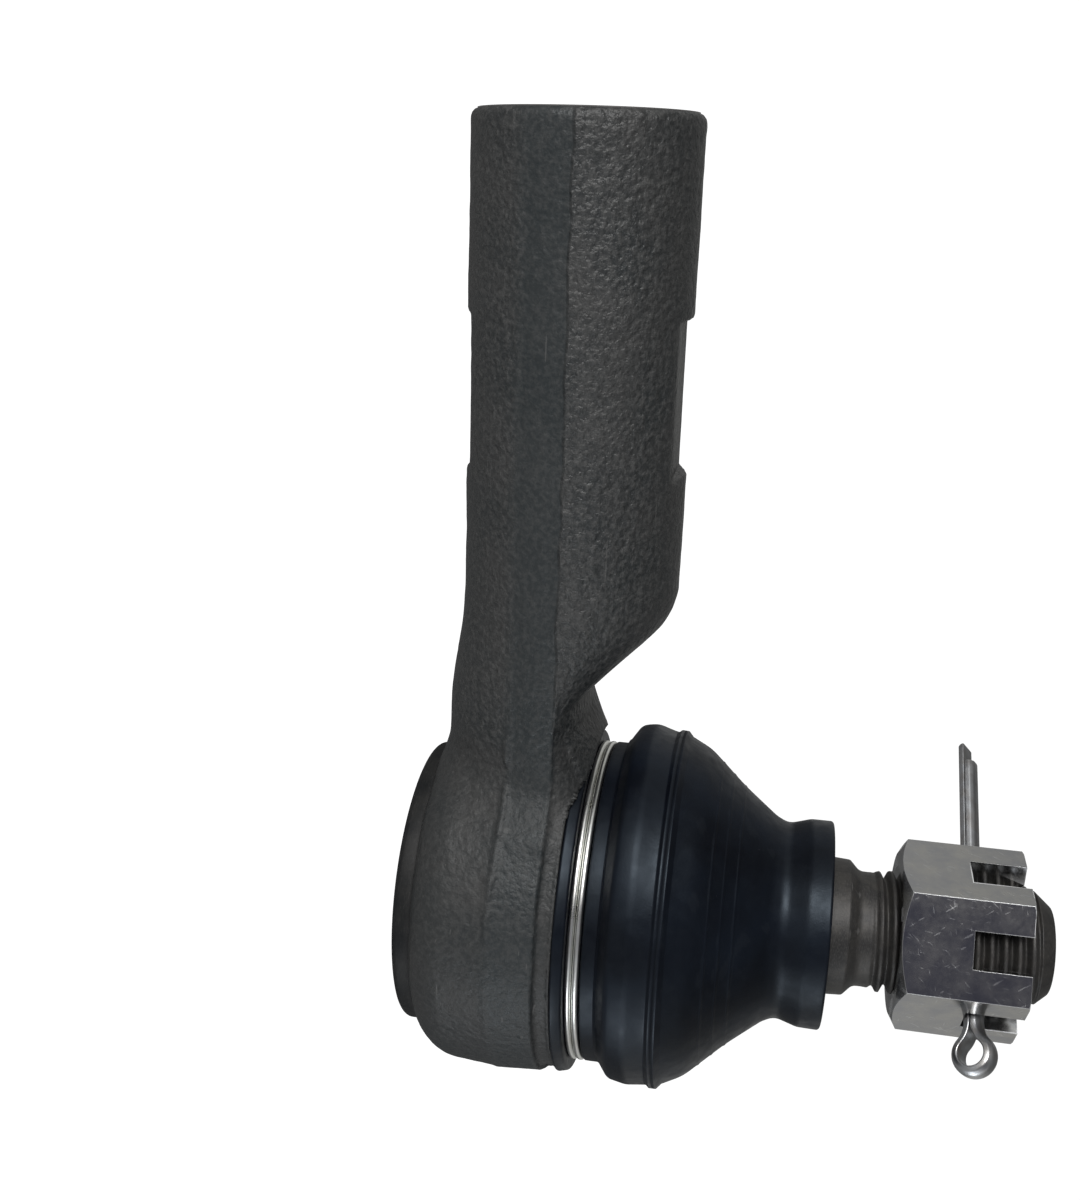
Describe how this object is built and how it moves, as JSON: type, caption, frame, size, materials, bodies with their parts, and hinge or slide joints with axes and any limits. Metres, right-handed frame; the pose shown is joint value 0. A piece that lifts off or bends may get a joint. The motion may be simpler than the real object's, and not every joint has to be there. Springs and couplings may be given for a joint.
{
  "type": "tie rod end",
  "caption": "Outer tie rod end: forged socket with an internally threaded shank, a tilting ball stud under a rubber boot, and a castle nut held by a cotter pin.",
  "frame": {"origin": "centre of the shank's open mouth, on the axis of its female thread", "axes": "+X out of the shank's mouth along the thread; +Z along the ball stud towards its threaded end, with the stud upright"},
  "size_m": [0.1112, 0.0434, 0.0743],
  "materials": {
    "forging": "satin",
    "bearing_plastic": "matte",
    "spring_steel": "satin",
    "cover_steel": "satin",
    "bright_wire": "polished",
    "boot_rubber": "satin",
    "stud_steel": "satin",
    "zinc_plate": "satin",
    "pin_steel": "polished"
  },
  "bodies": {
    "housing": {"housing": "forging", "upper_bearing": "bearing_plastic", "lower_bearing": "bearing_plastic", "preload_spring": "spring_steel", "end_cover": "cover_steel", "boot_clamp_ring": "bright_wire"},
    "boot": {"dust_boot": "boot_rubber"},
    "boot_neck": {"boot_neck_ring": "spring_steel"},
    "stud": {"ball_stud": "stud_steel", "castle_nut": "zinc_plate"},
    "cotter": {"cotter_pin": "pin_steel"}
  },
  "joints": [
    {"name": "tilt_x", "type": "hinge", "parent": "housing", "child": "boot", "pos_m": [-0.0901, 0, -0.0028], "axis": [1, 0, 0], "range_deg": [-18, 18], "deforming": ["dust_boot"]},
    {"name": "tilt_y", "type": "hinge", "parent": "boot", "child": "boot_neck", "pos_m": [-0.0901, 0, -0.0028], "axis": [0, 1, 0], "range_deg": [-18, 18]},
    {"name": "stud_spin", "type": "hinge", "parent": "boot_neck", "child": "stud", "pos_m": [-0.0901, 0, -0.0028], "axis": [0, 0, 1], "continuous": true},
    {"name": "cotter_pull", "type": "slide", "parent": "stud", "child": "cotter", "axis": [-0.5786, 0.8156, 0], "range_m": [0, 0.037]}
  ]
}
